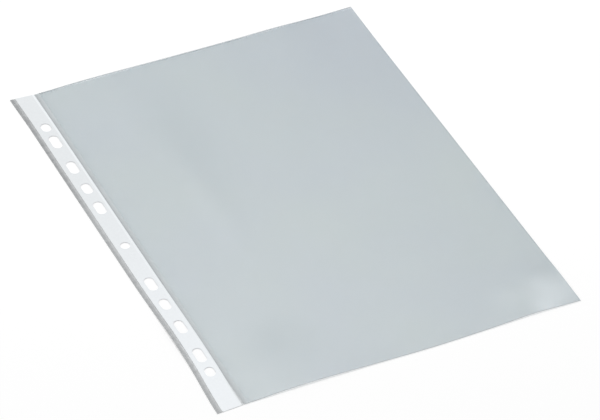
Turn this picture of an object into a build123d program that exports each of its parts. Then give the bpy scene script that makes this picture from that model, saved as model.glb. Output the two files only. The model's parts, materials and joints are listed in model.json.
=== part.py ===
from build123d import *
import os

# Sheet protector for A4 pages: a pocket of clear film beside a punched, reinforced binding edge.
# The origin is the middle of the outline, on the surface that the sheet lies on. +X runs from the
# binding edge to the folded side, +Y along the binding edge to the open mouth, and +Z up.

# Overall outline, in millimetres
sheet_width = 230.0
sheet_height = 305.0

# Film and tape, and the air that an empty pocket holds between its two films
film_thickness = 0.10
tape_thickness = 0.12
pocket_gap = 0.20

# Binding edge, from its outer edge inwards: bare film, then the white tape, then the crease
bare_edge_width = 3.2
tape_width = 12.0
tape_to_crease = 1.4
margin_to_crease = 0.7
seam_width = 1.5

# The tape is welded to the film under it along two lines, each sunk into the upper film
tape_weld_width = 0.8
tape_weld_inset = 0.6

# Punched holes: a round one at the middle, and pairs of slots, each pair placed by its distance from
# the middle. A slot's travel is the distance between the middles of its two round ends.
hole_diameter = 6.0
slots = [
    {"offset": 37.5, "travel": 6.0},
    {"offset": 57.0, "travel": 4.0},
    {"offset": 78.5, "travel": 6.0},
    {"offset": 105.0, "travel": 6.5},
    {"offset": 120.0, "travel": 2.0},
]

# Worked out from the sizes above
left = -sheet_width / 2
right = sheet_width / 2
bottom = -sheet_height / 2
top = sheet_height / 2

margin_thickness = 2 * film_thickness
pocket_thickness = 2 * film_thickness + pocket_gap
bead_radius = pocket_thickness / 2

tape_left = left + bare_edge_width
tape_right = tape_left + tape_width
hole_line = (tape_left + tape_right) / 2
crease = tape_right + tape_to_crease
margin_right = crease - margin_to_crease
pocket_left = crease + seam_width
pocket_right = right - bead_radius
pocket_bottom = bottom + 2 * bead_radius


def plate(x_from, x_to, y_from, y_to, z_from, thickness):
    """A flat piece of film or tape between two corners, with its underside at z_from."""
    corner = (Align.MIN, Align.MIN, Align.MIN)
    return Pos(x_from, y_from, z_from) * Box(x_to - x_from, y_to - y_from, thickness, align=corner)


def punched_outline():
    """The outlines of all the holes, on the hole line at height 0."""
    outline = [Pos(hole_line, 0) * Circle(hole_diameter / 2)]
    for slot in slots:
        shape = Rot(0, 0, 90) * SlotCenterToCenter(slot["travel"], hole_diameter)
        for side in (-1, 1):
            outline.append(Pos(hole_line, side * slot["offset"]) * shape)
    return outline


def punch(piece, depth):
    """The piece with every hole cut right through it, from height 0 up to depth."""
    for outline in punched_outline():
        piece -= extrude(outline, amount=depth)
    return piece


def tape_weld_lines():
    """The two lines where the tape runs into the upper film of the margin."""
    starts = (tape_left + tape_weld_inset, tape_right - tape_weld_inset - tape_weld_width)
    return [plate(x, x + tape_weld_width, bottom, top, film_thickness, film_thickness) for x in starts]


def margin_film():
    """The two films welded flat to each other beside the pocket, punched for the rings."""
    margin = plate(left, margin_right, bottom, top, 0, margin_thickness)
    for line in tape_weld_lines():
        margin -= line
    return punch(margin, margin_thickness)


def reinforcing_tape():
    """The white tape on the margin, punched together with it."""
    tape = plate(tape_left, tape_right, bottom, top, margin_thickness, tape_thickness)
    for line in tape_weld_lines():
        tape += line
    return punch(tape, margin_thickness + tape_thickness)


def spine_weld():
    """The lengthwise weld, where the two films run together into the round crease that the page turns on."""
    crease_line = Plane.XZ.offset(-bottom)
    bead = Pos(crease, bead_radius) * Circle(film_thickness)
    seam = Polygon(
        (crease, bead_radius - film_thickness),
        (pocket_left, 0),
        (pocket_left, pocket_thickness),
        (crease, bead_radius + film_thickness),
        align=None,
    )
    return extrude(crease_line * (bead + seam), amount=-sheet_height)


def bottom_weld():
    """The trim-sealed bottom edge, a round bead across the pocket."""
    bead = Circle(bead_radius)
    place = Plane.YZ.offset(pocket_left) * Pos(bottom + bead_radius, bead_radius)
    return extrude(place * bead, amount=pocket_right - pocket_left)


def side_fold():
    """The pressed fold on the side away from the rings, half round in section."""
    section = Pos(pocket_right, bead_radius) * Circle(bead_radius)
    section &= Pos(pocket_right, bead_radius) * Rectangle(
        bead_radius, pocket_thickness, align=(Align.MIN, Align.CENTER)
    )
    return extrude(Plane.XZ.offset(-bottom) * section, amount=-sheet_height)


def pocket_film(height):
    """One wall of the pocket, with its underside at the given height."""
    return plate(pocket_left, pocket_right, pocket_bottom, top, height, film_thickness)


def back_film():
    return pocket_film(0)


def front_film():
    return pocket_film(film_thickness + pocket_gap)


os.makedirs("parts", exist_ok=True)
for make in (margin_film, reinforcing_tape, spine_weld, bottom_weld, side_fold, back_film, front_film):
    export_step(make(), f"parts/{make.__name__}.step")
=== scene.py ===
"""Sheet protector laid on a pale table: clear pocket, welded seams and a white punched binding strip."""

import json
import math

import bmesh
import bpy
from mathutils import Matrix, Quaternion, Vector


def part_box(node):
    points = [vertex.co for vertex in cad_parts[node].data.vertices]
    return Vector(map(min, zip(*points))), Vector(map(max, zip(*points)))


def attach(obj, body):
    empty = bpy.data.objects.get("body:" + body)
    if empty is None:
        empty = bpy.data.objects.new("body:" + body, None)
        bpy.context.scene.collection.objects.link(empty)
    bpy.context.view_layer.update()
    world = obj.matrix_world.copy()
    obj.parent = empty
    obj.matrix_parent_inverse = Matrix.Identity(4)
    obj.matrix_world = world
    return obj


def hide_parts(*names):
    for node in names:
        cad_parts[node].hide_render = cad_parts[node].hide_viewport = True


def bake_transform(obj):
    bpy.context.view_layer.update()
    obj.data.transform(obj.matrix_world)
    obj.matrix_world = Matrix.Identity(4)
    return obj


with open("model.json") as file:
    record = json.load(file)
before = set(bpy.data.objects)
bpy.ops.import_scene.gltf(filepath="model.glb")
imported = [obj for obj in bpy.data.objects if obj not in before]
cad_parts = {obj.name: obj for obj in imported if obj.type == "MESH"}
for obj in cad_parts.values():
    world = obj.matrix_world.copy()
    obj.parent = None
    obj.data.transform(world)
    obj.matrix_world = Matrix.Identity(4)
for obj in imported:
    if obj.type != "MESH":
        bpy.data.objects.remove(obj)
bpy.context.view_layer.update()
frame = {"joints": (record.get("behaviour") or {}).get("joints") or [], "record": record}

# Sizes in metres. The sheet's own corners come from the frame.
margin_low, margin_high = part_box("margin_film")
tape_low, tape_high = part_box("reinforcing_tape")
seam_low, seam_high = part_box("spine_weld")
back_low, back_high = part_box("back_film")
front_low, front_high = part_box("front_film")
near_weld_low, near_weld_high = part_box("bottom_weld")
fold_low, fold_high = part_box("side_fold")
page_turn = next(joint for joint in frame["joints"] if joint["name"] == "page_turn")
crease_x, _, crease_z = page_turn["pos_m"]
film_thickness = back_high.z - back_low.z
sheet_bottom = margin_low.y
sheet_top = margin_high.y
sheet_length = sheet_top - sheet_bottom

# Punched holes from the record, each with its middle along the strip and the straight travel
# between its two round ends: the round one at the middle, and pairs of slots
mounts = frame["record"]["mounts"]
centre_hole = next(mount for mount in mounts if mount["name"] == "centre_hole")
hole_line = centre_hole["pos_m"][0]
hole_radius = centre_hole["dims"]["r_mm"] / 1000
hole_sides = 40
holes = [(0.0, 0.0)]
for mount in mounts:
    if mount["kind"] == "bolt_pattern":
        offset = mount["dims"]["spacing_y_mm"] / 2000
        travel = mount["dims"]["slot_length_mm"] / 1000 - 2 * hole_radius
        holes += [(offset, travel), (-offset, travel)]

# Meshing: cells of the films, cuts across the strip, sides of a welded bead
film_cell = 0.003
strip_step = 0.0025
bead_sides = 16
cut_tolerance = 1e-7
sharp_angle = math.radians(35)

cut_edge_width = 0.0005
flat_x_name = "flat_x"

# Soft rises of the laid sheet: middle x and y, height, spread along x and along y
rises = (
    (-0.060, 0.1525, 0.00060, 0.036, 0.045),
    (0.061, 0.1525, 0.00045, 0.020, 0.035),
    (0.118, 0.1560, 0.00060, 0.018, 0.030),
    (-0.058, -0.1525, 0.00060, 0.036, 0.032),
    (0.084, -0.1525, 0.00045, 0.019, 0.020),
    (0.103, -0.1270, 0.00090, 0.014, 0.012),
    (0.084, -0.1310, 0.00050, 0.010, 0.009),
    (-0.118, -0.0870, 0.00090, 0.012, 0.020),
    (-0.042, 0.0250, 0.00035, 0.009, 0.055),
)
crease_reach = 0.022

# The near edge was drawn out of line as it was welded: middle x, shift along y and spread along x
weld_draws = ((-0.058, 0.0006, 0.030), (0.022, -0.0008, 0.030), (0.086, 0.0007, 0.018))
weld_draw_reach = 0.025

# The pillow of the front film rises from the near weld over this share of the pocket's length
pillow_height = 0.00025
pillow_start_share = 0.25

# The binding strip doesn't lie quite straight, at its two ends and once between them: place along the
# strip, shift of its outer edge along x and along y, and how far along the strip the shift fades out
strip_shifts = (
    (sheet_bottom, -0.0013, -0.0010, 0.045),
    (-0.088, 0.0008, 0.0, 0.060),
    (sheet_top, -0.0005, 0.0012, 0.030),
)


def smooth_step(share):
    """A soft ramp from 0 to 1."""
    share = min(1.0, max(0.0, share))
    return share * share * (3 - 2 * share)


def rise(x, y):
    """How far the sheet stands off the table at a point. The crease itself stays on its hinge line."""
    height = 0.0
    for middle_x, middle_y, top, spread_x, spread_y in rises:
        across = (x - middle_x) / spread_x
        along = (y - middle_y) / spread_y
        height += top * math.exp(-across * across - along * along)
    return height * smooth_step(abs(x - crease_x) / crease_reach)


def pillow(x, y):
    """How far the front film stands off the back one: sealed on three sides, ajar at the mouth."""
    across = (x - front_low.x) / (front_high.x - front_low.x)
    along = (y - front_low.y) / (front_high.y - front_low.y)
    return pillow_height * math.sin(math.pi * across) * smooth_step(along / pillow_start_share)


def weld_draw(x, y):
    """How far the weld has drawn a point near the pocket's near edge out of line."""
    near = smooth_step((sheet_bottom + weld_draw_reach - y) / weld_draw_reach)
    beside_crease = smooth_step((x - crease_x) / crease_reach)
    drawn = 0.0
    for middle, shift, spread in weld_draws:
        drawn += shift * math.exp(-(((x - middle) / spread) ** 2))
    return drawn * near * beside_crease


def strip_skew(x, y):
    """How far the strip has swung out of line at a point. Its inner edge stays at the seam."""
    from_seam = max(0.0, margin_high.x - x)
    slant_share = from_seam / (margin_high.x - margin_low.x)
    swing_share = (smooth_step(from_seam / (margin_high.x - tape_high.x)) + slant_share) / 2
    shift = Vector((0, 0, 0))
    for place, swing, slant, reach in strip_shifts:
        near = smooth_step(1 - abs(y - place) / reach)
        shift += near * Vector((swing * swing_share, slant * slant_share, 0))
    return shift


def laid(x, y):
    """How far a point of the flat sheet moves as the sheet is laid on the table."""
    return strip_skew(x, y) + Vector((0, weld_draw(x, y), rise(x, y)))


def lay(shell):
    """Moves every point of a flat shell to where the laid sheet has it."""
    for vert in shell.verts:
        vert.co += laid(vert.co.x, vert.co.y)


def thicken(shell, thickness):
    """Turns a flat sheet of faces into a closed shell."""
    grown = bmesh.ops.extrude_face_region(shell, geom=shell.faces[:], use_keep_orig=True)
    raised = [part for part in grown["geom"] if isinstance(part, bmesh.types.BMVert)]
    bmesh.ops.translate(shell, vec=(0, 0, thickness), verts=raised)
    bmesh.ops.recalc_face_normals(shell, faces=shell.faces[:])


def cut_across(shell, axis, place):
    """Adds a row of edges where a plane square to one axis crosses the shell."""
    normal = Vector((0, 0, 0))
    normal[axis] = 1
    parts = shell.verts[:] + shell.edges[:] + shell.faces[:]
    bmesh.ops.bisect_plane(
        shell, geom=parts, plane_co=normal * place, plane_no=normal, dist=cut_tolerance
    )


def keep_flat_x(shell):
    """Notes on each point where it lies across the strip while the strip is still flat."""
    flat_x = shell.verts.layers.float.new(flat_x_name)
    for vert in shell.verts:
        vert[flat_x] = vert.co.x


def piece(name, shell, *materials):
    """Makes the finished object, smooth but for its sharp rims."""
    for face in shell.faces:
        face.smooth = True
    for edge in shell.edges:
        edge.smooth = len(edge.link_faces) == 2 and edge.calc_face_angle(0) < sharp_angle
    mesh = bpy.data.meshes.new(name)
    shell.to_mesh(mesh)
    shell.free()
    for material in materials:
        mesh.materials.append(material)
    made = bpy.data.objects.new(name, mesh)
    bpy.context.scene.collection.objects.link(made)
    return made


# Materials

# Where the two colours of a cloudy shade stand on its noise, and how deep the fine grain is
darker_stop = 0.3
lighter_stop = 0.7
grain_depth = 0.00005

# Patches in the film: middle x and y, reach along x and along y, and colour. The first is painted shade
# in the far corner, the next two are faint darker patches, the last two are a painted highlight at the
# near corner.
film_tones_and_painted_light = (
    # painted shade in the far corner
    (0.115, 0.160, 0.130, 0.190, (0.185, 0.310, 0.420)),
    (-0.033, 0.080, 0.032, 0.090, (0.205, 0.350, 0.410)),
    (-0.058, -0.112, 0.030, 0.030, (0.190, 0.335, 0.395)),
    # painted highlight at the near corner
    (0.104, -0.140, 0.026, 0.024, (0.560, 0.690, 0.750)),
    (0.095, -0.149, 0.014, 0.012, (0.620, 0.750, 0.810)),
)


class Finish:
    """A procedural material: one Principled shader and the nodes that feed it."""

    def __init__(self, name, **sockets):
        self.material = bpy.data.materials.new(name)
        self.material.use_nodes = True
        self.nodes = self.material.node_tree.nodes
        self.shader = self.nodes["Principled BSDF"]
        self.place = self.nodes.new("ShaderNodeTexCoord").outputs["Object"]
        for socket, value in sockets.items():
            self.shader.inputs[socket.replace("_", " ")].default_value = value

    def link(self, source, target):
        self.material.node_tree.links.new(source, target)

    def noise(self, scale, stretch=(1, 1, 1), detail=3.0):
        """Cloudy grain, with its scale in waves a metre."""
        mapping = self.nodes.new("ShaderNodeMapping")
        mapping.inputs["Scale"].default_value = stretch
        self.link(self.place, mapping.inputs["Vector"])
        noise = self.nodes.new("ShaderNodeTexNoise")
        noise.inputs["Scale"].default_value = scale
        noise.inputs["Detail"].default_value = detail
        self.link(mapping.outputs["Vector"], noise.inputs["Vector"])
        return noise.outputs["Fac"]

    def soft_ramp(self, source, start, end):
        """0 where the source is before start and 1 where it is after end."""
        ramp = self.nodes.new("ShaderNodeMapRange")
        ramp.interpolation_type = "SMOOTHSTEP"
        ramp.inputs["From Min"].default_value = start
        ramp.inputs["From Max"].default_value = end
        self.link(source, ramp.inputs["Value"])
        return ramp.outputs["Result"]

    def along(self, axis, start, end):
        """A soft ramp along one axis of the sheet."""
        split = self.nodes.new("ShaderNodeSeparateXYZ")
        self.link(self.place, split.inputs["Vector"])
        return self.soft_ramp(split.outputs[axis], start, end)

    def across_strip(self, start, end):
        """A soft ramp across the binding strip, which follows the strip where it lies askew."""
        flat_x = self.nodes.new("ShaderNodeAttribute")
        flat_x.attribute_name = flat_x_name
        return self.soft_ramp(flat_x.outputs["Fac"], start, end)

    def patch(self, x, y, reach_x, reach_y):
        """1 at a place on the sheet, falling softly to 0 at its reach."""
        mapping = self.nodes.new("ShaderNodeMapping")
        mapping.inputs["Scale"].default_value = (1 / reach_x, 1 / reach_y, 1 / reach_x)
        mapping.inputs["Location"].default_value = (-x / reach_x, -y / reach_y, 0)
        self.link(self.place, mapping.inputs["Vector"])
        ball = self.nodes.new("ShaderNodeTexGradient")
        ball.gradient_type = "SPHERICAL"
        self.link(mapping.outputs["Vector"], ball.inputs["Vector"])
        return self.soft_ramp(ball.outputs["Fac"], 0, 1)

    def shades(self, source, darker, lighter):
        """A cloudy shade between two colours."""
        ramp = self.nodes.new("ShaderNodeValToRGB")
        first, last = ramp.color_ramp.elements
        first.position = darker_stop
        first.color = (*darker, 1)
        last.position = lighter_stop
        last.color = (*lighter, 1)
        self.link(source, ramp.inputs["Fac"])
        return ramp.outputs["Color"]

    def mix(self, factor, first, second):
        """Two colours mixed; first and second are sockets or colours."""
        mix = self.nodes.new("ShaderNodeMix")
        mix.data_type = "RGBA"
        self.link(factor, mix.inputs["Factor"])
        sockets = [socket for socket in mix.inputs if socket.type == "RGBA"]
        for socket, value in zip(sockets, (first, second)):
            if isinstance(value, tuple):
                socket.default_value = (*value, 1)
            else:
                self.link(value, socket)
        return next(socket for socket in mix.outputs if socket.type == "RGBA")

    def between(self, source, low, high):
        """Spreads a 0 to 1 source between two numbers."""
        spread = self.nodes.new("ShaderNodeMapRange")
        spread.inputs["To Min"].default_value = low
        spread.inputs["To Max"].default_value = high
        self.link(source, spread.inputs["Value"])
        return spread.outputs["Result"]

    def colour(self, source):
        self.link(source, self.shader.inputs["Base Color"])

    def rough(self, source, least, most):
        self.link(self.between(source, least, most), self.shader.inputs["Roughness"])

    def grain(self, source, strength):
        bump = self.nodes.new("ShaderNodeBump")
        bump.inputs["Strength"].default_value = strength
        bump.inputs["Distance"].default_value = grain_depth
        self.link(source, bump.inputs["Height"])
        self.link(bump.outputs["Normal"], self.shader.inputs["Normal"])


def clear_film():
    """Grey-blue clear film with faint clouds and faint darker patches, painted shade along the welded
    seam and in the far corner, and a painted highlight at the near corner.
    """
    blue_grey = (0.255, 0.390, 0.475)
    green_grey = (0.280, 0.425, 0.455)
    seam_shade_grey = (0.215, 0.355, 0.410)
    seam_shade_width = 0.005
    film = Finish("clear_film", Alpha=0.14, IOR=2.0, Specular_IOR_Level=0.8)
    colour = film.shades(film.noise(14, detail=2.0), blue_grey, green_grey)
    # Painted shade in the far corner and a painted highlight at the near corner, laid over the clouds
    # with two faint darker patches.
    for x, y, reach_x, reach_y, tint in film_tones_and_painted_light:
        colour = film.mix(film.patch(x, y, reach_x, reach_y), colour, tint)
    # Painted shade: the film darkens towards the welded seam.
    from_seam = film.along("X", back_low.x, back_low.x + seam_shade_width)
    film.colour(film.mix(from_seam, seam_shade_grey, colour))
    film.rough(film.noise(55), least=0.26, most=0.40)
    film.grain(film.noise(1400, detail=1.0), strength=0.05)
    return film.material


def cut_film():
    """The cut edge of the film at the mouth, painted darker: partly the cut edge's own darker look,
    partly painted shade for the thin shadow along it.
    """
    edge = Finish("cut_film_edge", Alpha=0.35, IOR=1.5)
    edge.colour(edge.shades(edge.noise(300), darker=(0.22, 0.27, 0.30), lighter=(0.30, 0.36, 0.39)))
    edge.rough(edge.noise(500), least=0.30, most=0.45)
    edge.grain(edge.noise(1400, detail=1.0), strength=0.05)
    return edge.material


def bare_margin():
    """Bare margin film on both sides of the tape: grey, darkest along its outer edge, with a line of
    painted shade beside the crease, clouded along its length and paler in its near half."""
    pale = (0.94, 0.97, 0.98)
    crease_shade_grey = (0.53, 0.565, 0.585)
    rim_width = 0.0008
    under_tape = 0.0004
    crease_line_blur = 0.0002
    pale_from_y = 0.070
    pale_to_y = 0.030
    most_pale = 0.16
    margin = Finish("bare_margin_film", Alpha=0.55, IOR=1.5)
    clouds = margin.noise(260, stretch=(0.3, 1, 1), detail=2.0)
    inner = margin.shades(clouds, darker=(0.58, 0.595, 0.605), lighter=(0.72, 0.735, 0.745))
    outer = margin.shades(clouds, darker=(0.31, 0.325, 0.335), lighter=(0.42, 0.435, 0.445))
    from_edge = margin.across_strip(margin_low.x + rim_width, tape_low.x + under_tape)
    # Painted shade: a dark line in the crease beside the tape.
    beside_crease = margin.across_strip(tape_high.x - crease_line_blur, tape_high.x)
    pale_share = margin.between(margin.along("Y", pale_from_y, pale_to_y), 0, most_pale)
    edge = margin.mix(pale_share, margin.mix(from_edge, outer, inner), pale)
    margin.colour(margin.mix(beside_crease, edge, crease_shade_grey))
    margin.rough(clouds, least=0.30, most=0.45)
    margin.grain(margin.noise(900, detail=1.0), strength=0.06)
    return margin.material


def covered_margin():
    """Margin film under the tape, clear enough for the tape's white to show from below."""
    margin = Finish("covered_margin_film", Alpha=0.25, IOR=1.5)
    clouds = margin.noise(120, detail=2.0)
    margin.colour(margin.shades(clouds, darker=(0.70, 0.73, 0.75), lighter=(0.78, 0.81, 0.83)))
    margin.rough(clouds, least=0.30, most=0.45)
    margin.grain(margin.noise(900, detail=1.0), strength=0.06)
    return margin.material


def white_tape():
    """Matte white tape, a touch lighter towards its near end and along its welded edge, with a grey line
    of painted shade at its very rim beside the crease."""
    weld_white = (0.87, 0.905, 0.925)
    rim_shade_grey = (0.60, 0.635, 0.655)
    weld_width = 0.0016
    weld_full_width = 0.0012
    rim_shade_width = 0.0005
    rim_shade_full_width = 0.0001
    whiter_from_y = 0.100
    tape = Finish("white_tape", IOR=1.46)
    fine = tape.noise(650, detail=4.0)
    far = tape.shades(fine, darker=(0.760, 0.788, 0.806), lighter=(0.790, 0.818, 0.836))
    near = tape.shades(fine, darker=(0.860, 0.893, 0.920), lighter=(0.890, 0.923, 0.950))
    body = tape.mix(tape.along("Y", whiter_from_y, sheet_bottom), far, near)
    welded = tape.across_strip(tape_high.x - weld_width, tape_high.x - weld_full_width)
    # Painted shade: a grey line along the tape's very rim, where the crease meets it.
    fused = tape.across_strip(tape_high.x - rim_shade_width, tape_high.x - rim_shade_full_width)
    edged = tape.mix(welded, body, weld_white)
    tape.colour(tape.mix(fused, edged, rim_shade_grey))
    tape.rough(fine, least=0.48, most=0.62)
    tape.grain(fine, strength=0.15)
    return tape.material


def welded_film():
    """Fused film: greyer and more solid than the clear film, with faint drawn streaks, and painted shade
    that makes it darkest in the crease beside the tape."""
    weld = Finish("welded_film", Alpha=0.6, IOR=1.5)
    streaks = weld.noise(220, stretch=(1, 0.2, 1), detail=3.0)
    crease = weld.shades(streaks, darker=(0.54, 0.58, 0.60), lighter=(0.60, 0.64, 0.66))
    beside = weld.shades(streaks, darker=(0.59, 0.64, 0.66), lighter=(0.65, 0.70, 0.72))
    # Painted shade: the crease colour darkens the weld beside the tape and fades towards the pocket.
    weld.colour(weld.mix(weld.along("X", margin_high.x, seam_high.x), crease, beside))
    weld.rough(streaks, least=0.28, most=0.42)
    weld.grain(weld.noise(1100, detail=1.0), strength=0.06)
    return weld.material


# Pieces


def film_sheet(low, high):
    """One pocket film as a flat grid, with a narrow row along the cut edge at the mouth."""
    size = high - low
    shell = bmesh.new()
    columns = round(size.x / film_cell)
    rows = round(size.y / film_cell)
    bmesh.ops.create_grid(shell, x_segments=columns, y_segments=rows, size=0.5)
    bmesh.ops.scale(shell, vec=(size.x, size.y, 1), verts=shell.verts)
    bmesh.ops.translate(shell, vec=((low.x + high.x) / 2, (low.y + high.y) / 2, low.z), verts=shell.verts)
    cut_across(shell, 1, high.y - cut_edge_width)
    thicken(shell, size.z)
    for face in shell.faces:
        face.material_index = int(face.calc_center_median().y > high.y - cut_edge_width)
    return shell


def pocket_back():
    """The back film, laid on the table's soft rises."""
    shell = film_sheet(back_low, back_high)
    lay(shell)
    return piece("pocket_back", shell, film_finish, cut_finish)


def pocket_front():
    """The front film, standing a little off the back one."""
    shell = film_sheet(front_low, front_high)
    for vert in shell.verts:
        vert.co.z += pillow(vert.co.x, vert.co.y)
    lay(shell)
    return piece("pocket_front", shell, film_finish, cut_finish)


def hole_outline(shell, middle, travel):
    """The rim of one punched hole: a circle drawn out along the strip where the hole is a slot."""
    turn = Matrix.Rotation(math.pi / hole_sides, 4, "Z")
    rim = bmesh.ops.create_circle(shell, segments=hole_sides, radius=hole_radius, matrix=turn)["verts"]
    for vert in rim:
        vert.co.y += math.copysign(travel / 2, vert.co.y) + middle
        vert.co.x += hole_line


def punched_strip(low, high, bottom, thickness):
    """A long strip with the eleven binding holes, divided so that it can follow the soft rises."""
    shell = bmesh.new()
    bmesh.ops.create_grid(shell, x_segments=1, y_segments=1, size=0.5)
    bmesh.ops.delete(shell, geom=shell.faces[:], context="FACES_ONLY")
    bmesh.ops.scale(shell, vec=(high.x - low.x, high.y - low.y, 1), verts=shell.verts)
    bmesh.ops.translate(shell, vec=((low.x + high.x) / 2, (low.y + high.y) / 2, 0), verts=shell.verts)
    for middle, travel in holes:
        hole_outline(shell, middle, travel)
    bmesh.ops.triangle_fill(shell, edges=shell.edges[:], use_beauty=True)
    for step in range(1, round(sheet_length / strip_step)):
        cut_across(shell, 1, sheet_bottom + step * strip_step)
    for place in (tape_low.x, hole_line - hole_radius, hole_line, hole_line + hole_radius, tape_high.x):
        if low.x < place < high.x:
            cut_across(shell, 0, place)
    bmesh.ops.translate(shell, vec=(0, 0, bottom), verts=shell.verts)
    thicken(shell, thickness)
    keep_flat_x(shell)
    lay(shell)
    return shell


def margin_strip():
    """The two fused films of the margin, under the tape and bare beyond it. Under the tape its cut rims
    wear the tape's white finish, painted light standing in for the tape's white seen through them."""
    covered_slot = 1
    rim_slot = 2
    upright_limit = 0.5
    shell = punched_strip(margin_low, margin_high, margin_low.z, margin_high.z - margin_low.z)
    shell.normal_update()
    for face in shell.faces:
        # Painted light: the cut rims under the tape take the tape's white finish.
        if tape_low.x < face.calc_center_median().x < tape_high.x:
            is_rim = abs(face.normal.z) < upright_limit
            face.material_index = rim_slot if is_rim else covered_slot
    return piece("margin_strip", shell, margin_finish, covered_finish, tape_finish)


def binding_tape():
    """The white tape welded on the margin."""
    shell = punched_strip(tape_low, tape_high, margin_high.z, tape_high.z - margin_high.z)
    return piece("binding_tape", shell, tape_finish)


def tape_weld_ticks():
    """Small pressed ticks of the weld along the tape's inner edge."""
    pitch = 0.002
    inset = 0.001
    tick_width = 0.0007
    tick_length = 0.0005
    tick_height = 0.00006
    foot_radius = 0.72
    top_radius = 0.4
    square_on = Matrix.Rotation(math.pi / 4, 4, "Z")
    shape = Matrix.Diagonal((tick_width, tick_length, tick_height, 1)) @ square_on
    shell = bmesh.new()
    for step in range(1, round(sheet_length / pitch)):
        place = Matrix.Translation((tape_high.x - inset, sheet_bottom + step * pitch, tape_high.z))
        bmesh.ops.create_cone(
            shell, cap_ends=True, segments=4, radius1=foot_radius, radius2=top_radius, depth=1,
            matrix=place @ shape,
        )
    keep_flat_x(shell)
    lay(shell)
    return piece("tape_weld_ticks", shell, tape_finish)


def seam_height(x, bottom_edge):
    """Underside or top of the welded seam: thin at the crease, as thick as the pocket beside it."""
    half_margin = (margin_high.z - margin_low.z) / 2
    half_pocket = (seam_high.z - seam_low.z) / 2
    if x < crease_x:
        share = smooth_step((x - margin_high.x) / (crease_x - margin_high.x))
        middle = half_margin + share * (crease_z - half_margin)
        half = half_margin
    else:
        share = (x - crease_x) / (seam_high.x - crease_x)
        middle = crease_z
        half = half_margin + share * (half_pocket - half_margin)
    return middle - half if bottom_edge else middle + half


def seam_crease():
    """The welded seam beside the pocket and the thin crease that the page turns on."""
    columns = 10
    width = seam_high.x - margin_high.x
    shell = bmesh.new()
    bmesh.ops.create_grid(shell, x_segments=columns, y_segments=round(sheet_length / film_cell), size=0.5)
    bmesh.ops.scale(shell, vec=(width, sheet_length, 1), verts=shell.verts)
    bmesh.ops.translate(shell, vec=(margin_high.x + width / 2, 0, 0), verts=shell.verts)
    thicken(shell, film_thickness)
    for vert in shell.verts:
        vert.co.z = seam_height(vert.co.x, vert.co.z < film_thickness / 2)
    lay(shell)
    return piece("seam_crease", shell, weld_finish)


def bead(length_axis, middle, radius, length):
    """A round bead along x or y, divided along its length."""
    turn = Matrix.Rotation(math.pi / 2, 4, "Y" if length_axis == "X" else "X")
    shell = bmesh.new()
    bmesh.ops.create_cone(
        shell, cap_ends=True, segments=bead_sides, radius1=radius, radius2=radius, depth=length,
        matrix=Matrix.Translation(middle) @ turn,
    )
    long_edges = [edge for edge in shell.edges if edge.calc_length() > length / 2]
    bmesh.ops.subdivide_edges(shell, edges=long_edges, cuts=round(length / film_cell), use_grid_fill=True)
    return shell


def near_weld():
    """The welded bead that closes the pocket along its near edge."""
    size = near_weld_high - near_weld_low
    shell = bead("X", (near_weld_low + near_weld_high) / 2, size.y / 2, size.x)
    lay(shell)
    return piece("near_weld", shell, weld_finish)


def side_roll():
    """The folded side of the film, a half round roll."""
    size = fold_high - fold_low
    middle = Vector((fold_low.x, 0, (fold_low.z + fold_high.z) / 2))
    shell = bead("Y", middle, size.z / 2, size.y)
    parts = shell.verts[:] + shell.edges[:] + shell.faces[:]
    bmesh.ops.bisect_plane(
        shell, geom=parts, plane_co=middle, plane_no=(1, 0, 0), dist=cut_tolerance, clear_inner=True
    )
    bmesh.ops.holes_fill(shell, edges=[edge for edge in shell.edges if edge.is_boundary])
    bmesh.ops.recalc_face_normals(shell, faces=shell.faces[:])
    lay(shell)
    return piece("side_roll", shell, weld_finish)


film_finish = clear_film()
cut_finish = cut_film()
margin_finish = bare_margin()
covered_finish = covered_margin()
tape_finish = white_tape()
weld_finish = welded_film()

back = pocket_back()
front = pocket_front()
margin = margin_strip()
tape = binding_tape()
ticks = tape_weld_ticks()
seam = seam_crease()
bottom = near_weld()
roll = side_roll()

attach(margin, "binding_edge")
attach(tape, "binding_edge")
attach(ticks, "binding_edge")
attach(back, "pocket")
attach(bottom, "pocket")
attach(roll, "pocket")
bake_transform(seam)


def fold_at(film, indices, middle_x):
    """Turns the listed points over to the other side of the film's middle line, or back."""
    for index in indices:
        point = film.data.vertices[index].co
        point.x = 2 * middle_x - point.x


def bow_from_both_sides(film):
    """Turns the film's far half over its middle line, bakes the film's placement into its points,
    and turns the far half back."""
    middle_x = (front_low.x + front_high.x) / 2
    far_half = [vert.index for vert in film.data.vertices if vert.co.x > middle_x]
    fold_at(film, far_half, middle_x)
    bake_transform(film)
    fold_at(film, far_half, middle_x)


bow_from_both_sides(front)

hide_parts("margin_film")
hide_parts("reinforcing_tape")
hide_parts("back_film")
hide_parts("front_film")
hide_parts("spine_weld")
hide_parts("bottom_weld")
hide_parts("side_fold")

# Table, light and camera

plain_white = (1, 1, 1, 1)
table_white = (0.94, 0.94, 0.94, 1)
table_half_width = 6
table_depth = 0.0001
table_lift = 0.10
room_level = 0.72
softbox_place = Vector((0.24, 1.13, 1.88))
softbox_side = 1.2
softbox_share = 0.28


def seen_white(nodes, links):
    """1 for rays that see the background straight, in a reflection or through clear film, else 0."""
    path = nodes.new("ShaderNodeLightPath")
    total = nodes.new("ShaderNodeMath")
    total.operation = "ADD"
    links.new(path.outputs["Is Camera Ray"], total.inputs[0])
    links.new(path.outputs["Is Glossy Ray"], total.inputs[1])
    clamped = nodes.new("ShaderNodeMath")
    clamped.operation = "ADD"
    clamped.use_clamp = True
    links.new(total.outputs[0], clamped.inputs[0])
    links.new(path.outputs["Is Transmission Ray"], clamped.inputs[1])
    return clamped.outputs[0]


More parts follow.
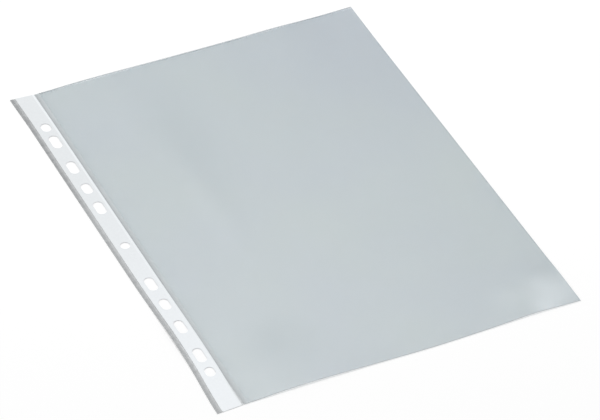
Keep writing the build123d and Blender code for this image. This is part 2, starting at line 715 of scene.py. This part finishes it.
def table():
    """A wide pale table just under the sheet. It keeps the sheet's shadow."""
    shell = bmesh.new()
    bmesh.ops.create_grid(shell, x_segments=1, y_segments=1, size=table_half_width)
    bmesh.ops.translate(shell, vec=(0, 0, -table_depth), verts=shell.verts)
    material = bpy.data.materials.new("pale_table")
    material.use_nodes = True
    nodes = material.node_tree.nodes
    links = material.node_tree.links
    shader = nodes["Principled BSDF"]
    shader.inputs["Base Color"].default_value = table_white
    shader.inputs["Roughness"].default_value = 1.0
    shader.inputs["Specular IOR Level"].default_value = 0.0
    shader.inputs["Emission Color"].default_value = plain_white
    lift = nodes.new("ShaderNodeMath")
    lift.operation = "MULTIPLY"
    lift.inputs[1].default_value = table_lift
    links.new(seen_white(nodes, links), lift.inputs[0])
    links.new(lift.outputs[0], shader.inputs["Emission Strength"])
    made = piece("table", shell, material)


def room_light():
    """Even white light from all round, plain white where it is seen."""
    world = bpy.data.worlds.new("room")
    world.use_nodes = True
    nodes = world.node_tree.nodes
    links = world.node_tree.links
    even = nodes["Background"]
    even.inputs["Color"].default_value = plain_white
    even.inputs["Strength"].default_value = room_level
    seen = nodes.new("ShaderNodeBackground")
    seen.inputs["Color"].default_value = plain_white
    seen.inputs["Strength"].default_value = 1.0
    choose = nodes.new("ShaderNodeMixShader")
    links.new(seen_white(nodes, links), choose.inputs[0])
    links.new(even.outputs[0], choose.inputs[1])
    links.new(seen.outputs[0], choose.inputs[2])
    links.new(choose.outputs[0], nodes["World Output"].inputs["Surface"])
    bpy.context.scene.world = world


def softbox():
    """A square soft lamp that adds its share of plain light where the sheet lies."""
    lamp = bpy.data.lights.new("softbox", "AREA")
    lamp.shape = "SQUARE"
    lamp.size = softbox_side
    height_share = softbox_place.z / softbox_place.length
    lamp.energy = softbox_share * math.pi ** 2 * softbox_place.length_squared / height_share
    made = bpy.data.objects.new("softbox", lamp)
    made.location = softbox_place
    made.rotation_euler = softbox_place.to_track_quat("Z", "Y").to_euler()
    bpy.context.scene.collection.objects.link(made)


def photo_camera():
    """The camera at the photograph's angle, with a long lens."""
    azimuth = math.radians(-26.18)
    elevation = math.radians(40.18)
    roll_angle = math.radians(1.29)
    distance = 2.4618
    focal_length = 249.38
    sensor_width = 36
    far_limit = 50
    target = Vector((0.0016, -0.0125, 0.0))
    back_axis = Vector((
        math.sin(azimuth) * math.cos(elevation),
        -math.cos(azimuth) * math.cos(elevation),
        math.sin(elevation),
    ))
    lens = bpy.data.cameras.new("photo_camera")
    lens.lens = focal_length
    lens.sensor_width = sensor_width
    lens.clip_end = far_limit
    camera = bpy.data.objects.new("photo_camera", lens)
    turn = back_axis.to_track_quat("Z", "Y") @ Quaternion((0, 0, 1), roll_angle)
    camera.matrix_world = Matrix.Translation(target + back_axis * distance) @ turn.to_matrix().to_4x4()
    bpy.context.scene.collection.objects.link(camera)
    bpy.context.scene.camera = camera


table()
room_light()
softbox()
photo_camera()
bpy.context.scene.view_settings.view_transform = "Standard"
